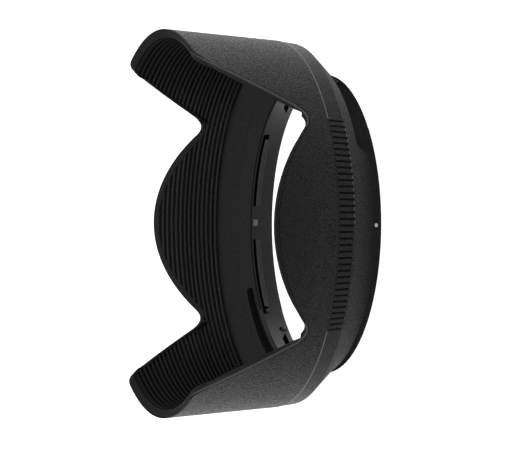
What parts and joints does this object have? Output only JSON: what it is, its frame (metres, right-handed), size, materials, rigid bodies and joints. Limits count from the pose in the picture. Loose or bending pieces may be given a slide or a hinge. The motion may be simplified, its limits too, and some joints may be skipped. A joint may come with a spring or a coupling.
{
  "type": "petal lens hood",
  "caption": "Petal-shaped lens hood: grained cone with long and short petals, knurled grip band, smooth rear collar with bayonet bore and sprung click strips.",
  "frame": {"origin": "centre of the rear rim, in the plane of the rim, at the base of the hood's box", "axes": "+Z along the optical axis towards the subject; long petals at +Y and -Y, short petals at +X and -X; index dot at +X"},
  "size_m": [0.106, 0.1082, 0.0493],
  "materials": {
    "grained_plastic": "fine grained matt black",
    "satin_plastic": "satin black",
    "smooth_plastic": "smooth semi-matt black",
    "white_paint": "matt white"
  },
  "bodies": {
    "hood": {"petal_shell": "grained_plastic", "grip_ring": "satin_plastic", "mount_ring": "smooth_plastic", "index_dot": "white_paint"},
    "tongue_near": {"click_tongue_near": "smooth_plastic"},
    "tongue_far": {"click_tongue_far": "smooth_plastic"}
  },
  "joints": [
    {"name": "near_tongue_flex", "type": "slide", "parent": "hood", "child": "tongue_near", "axis": [0.6088, 0.7934, 0], "range_m": [0, 0.0004], "stiffness_N_per_m": 5000},
    {"name": "far_tongue_flex", "type": "slide", "parent": "hood", "child": "tongue_far", "axis": [-0.6088, -0.7934, 0], "range_m": [0, 0.0004], "stiffness_N_per_m": 5000}
  ]
}
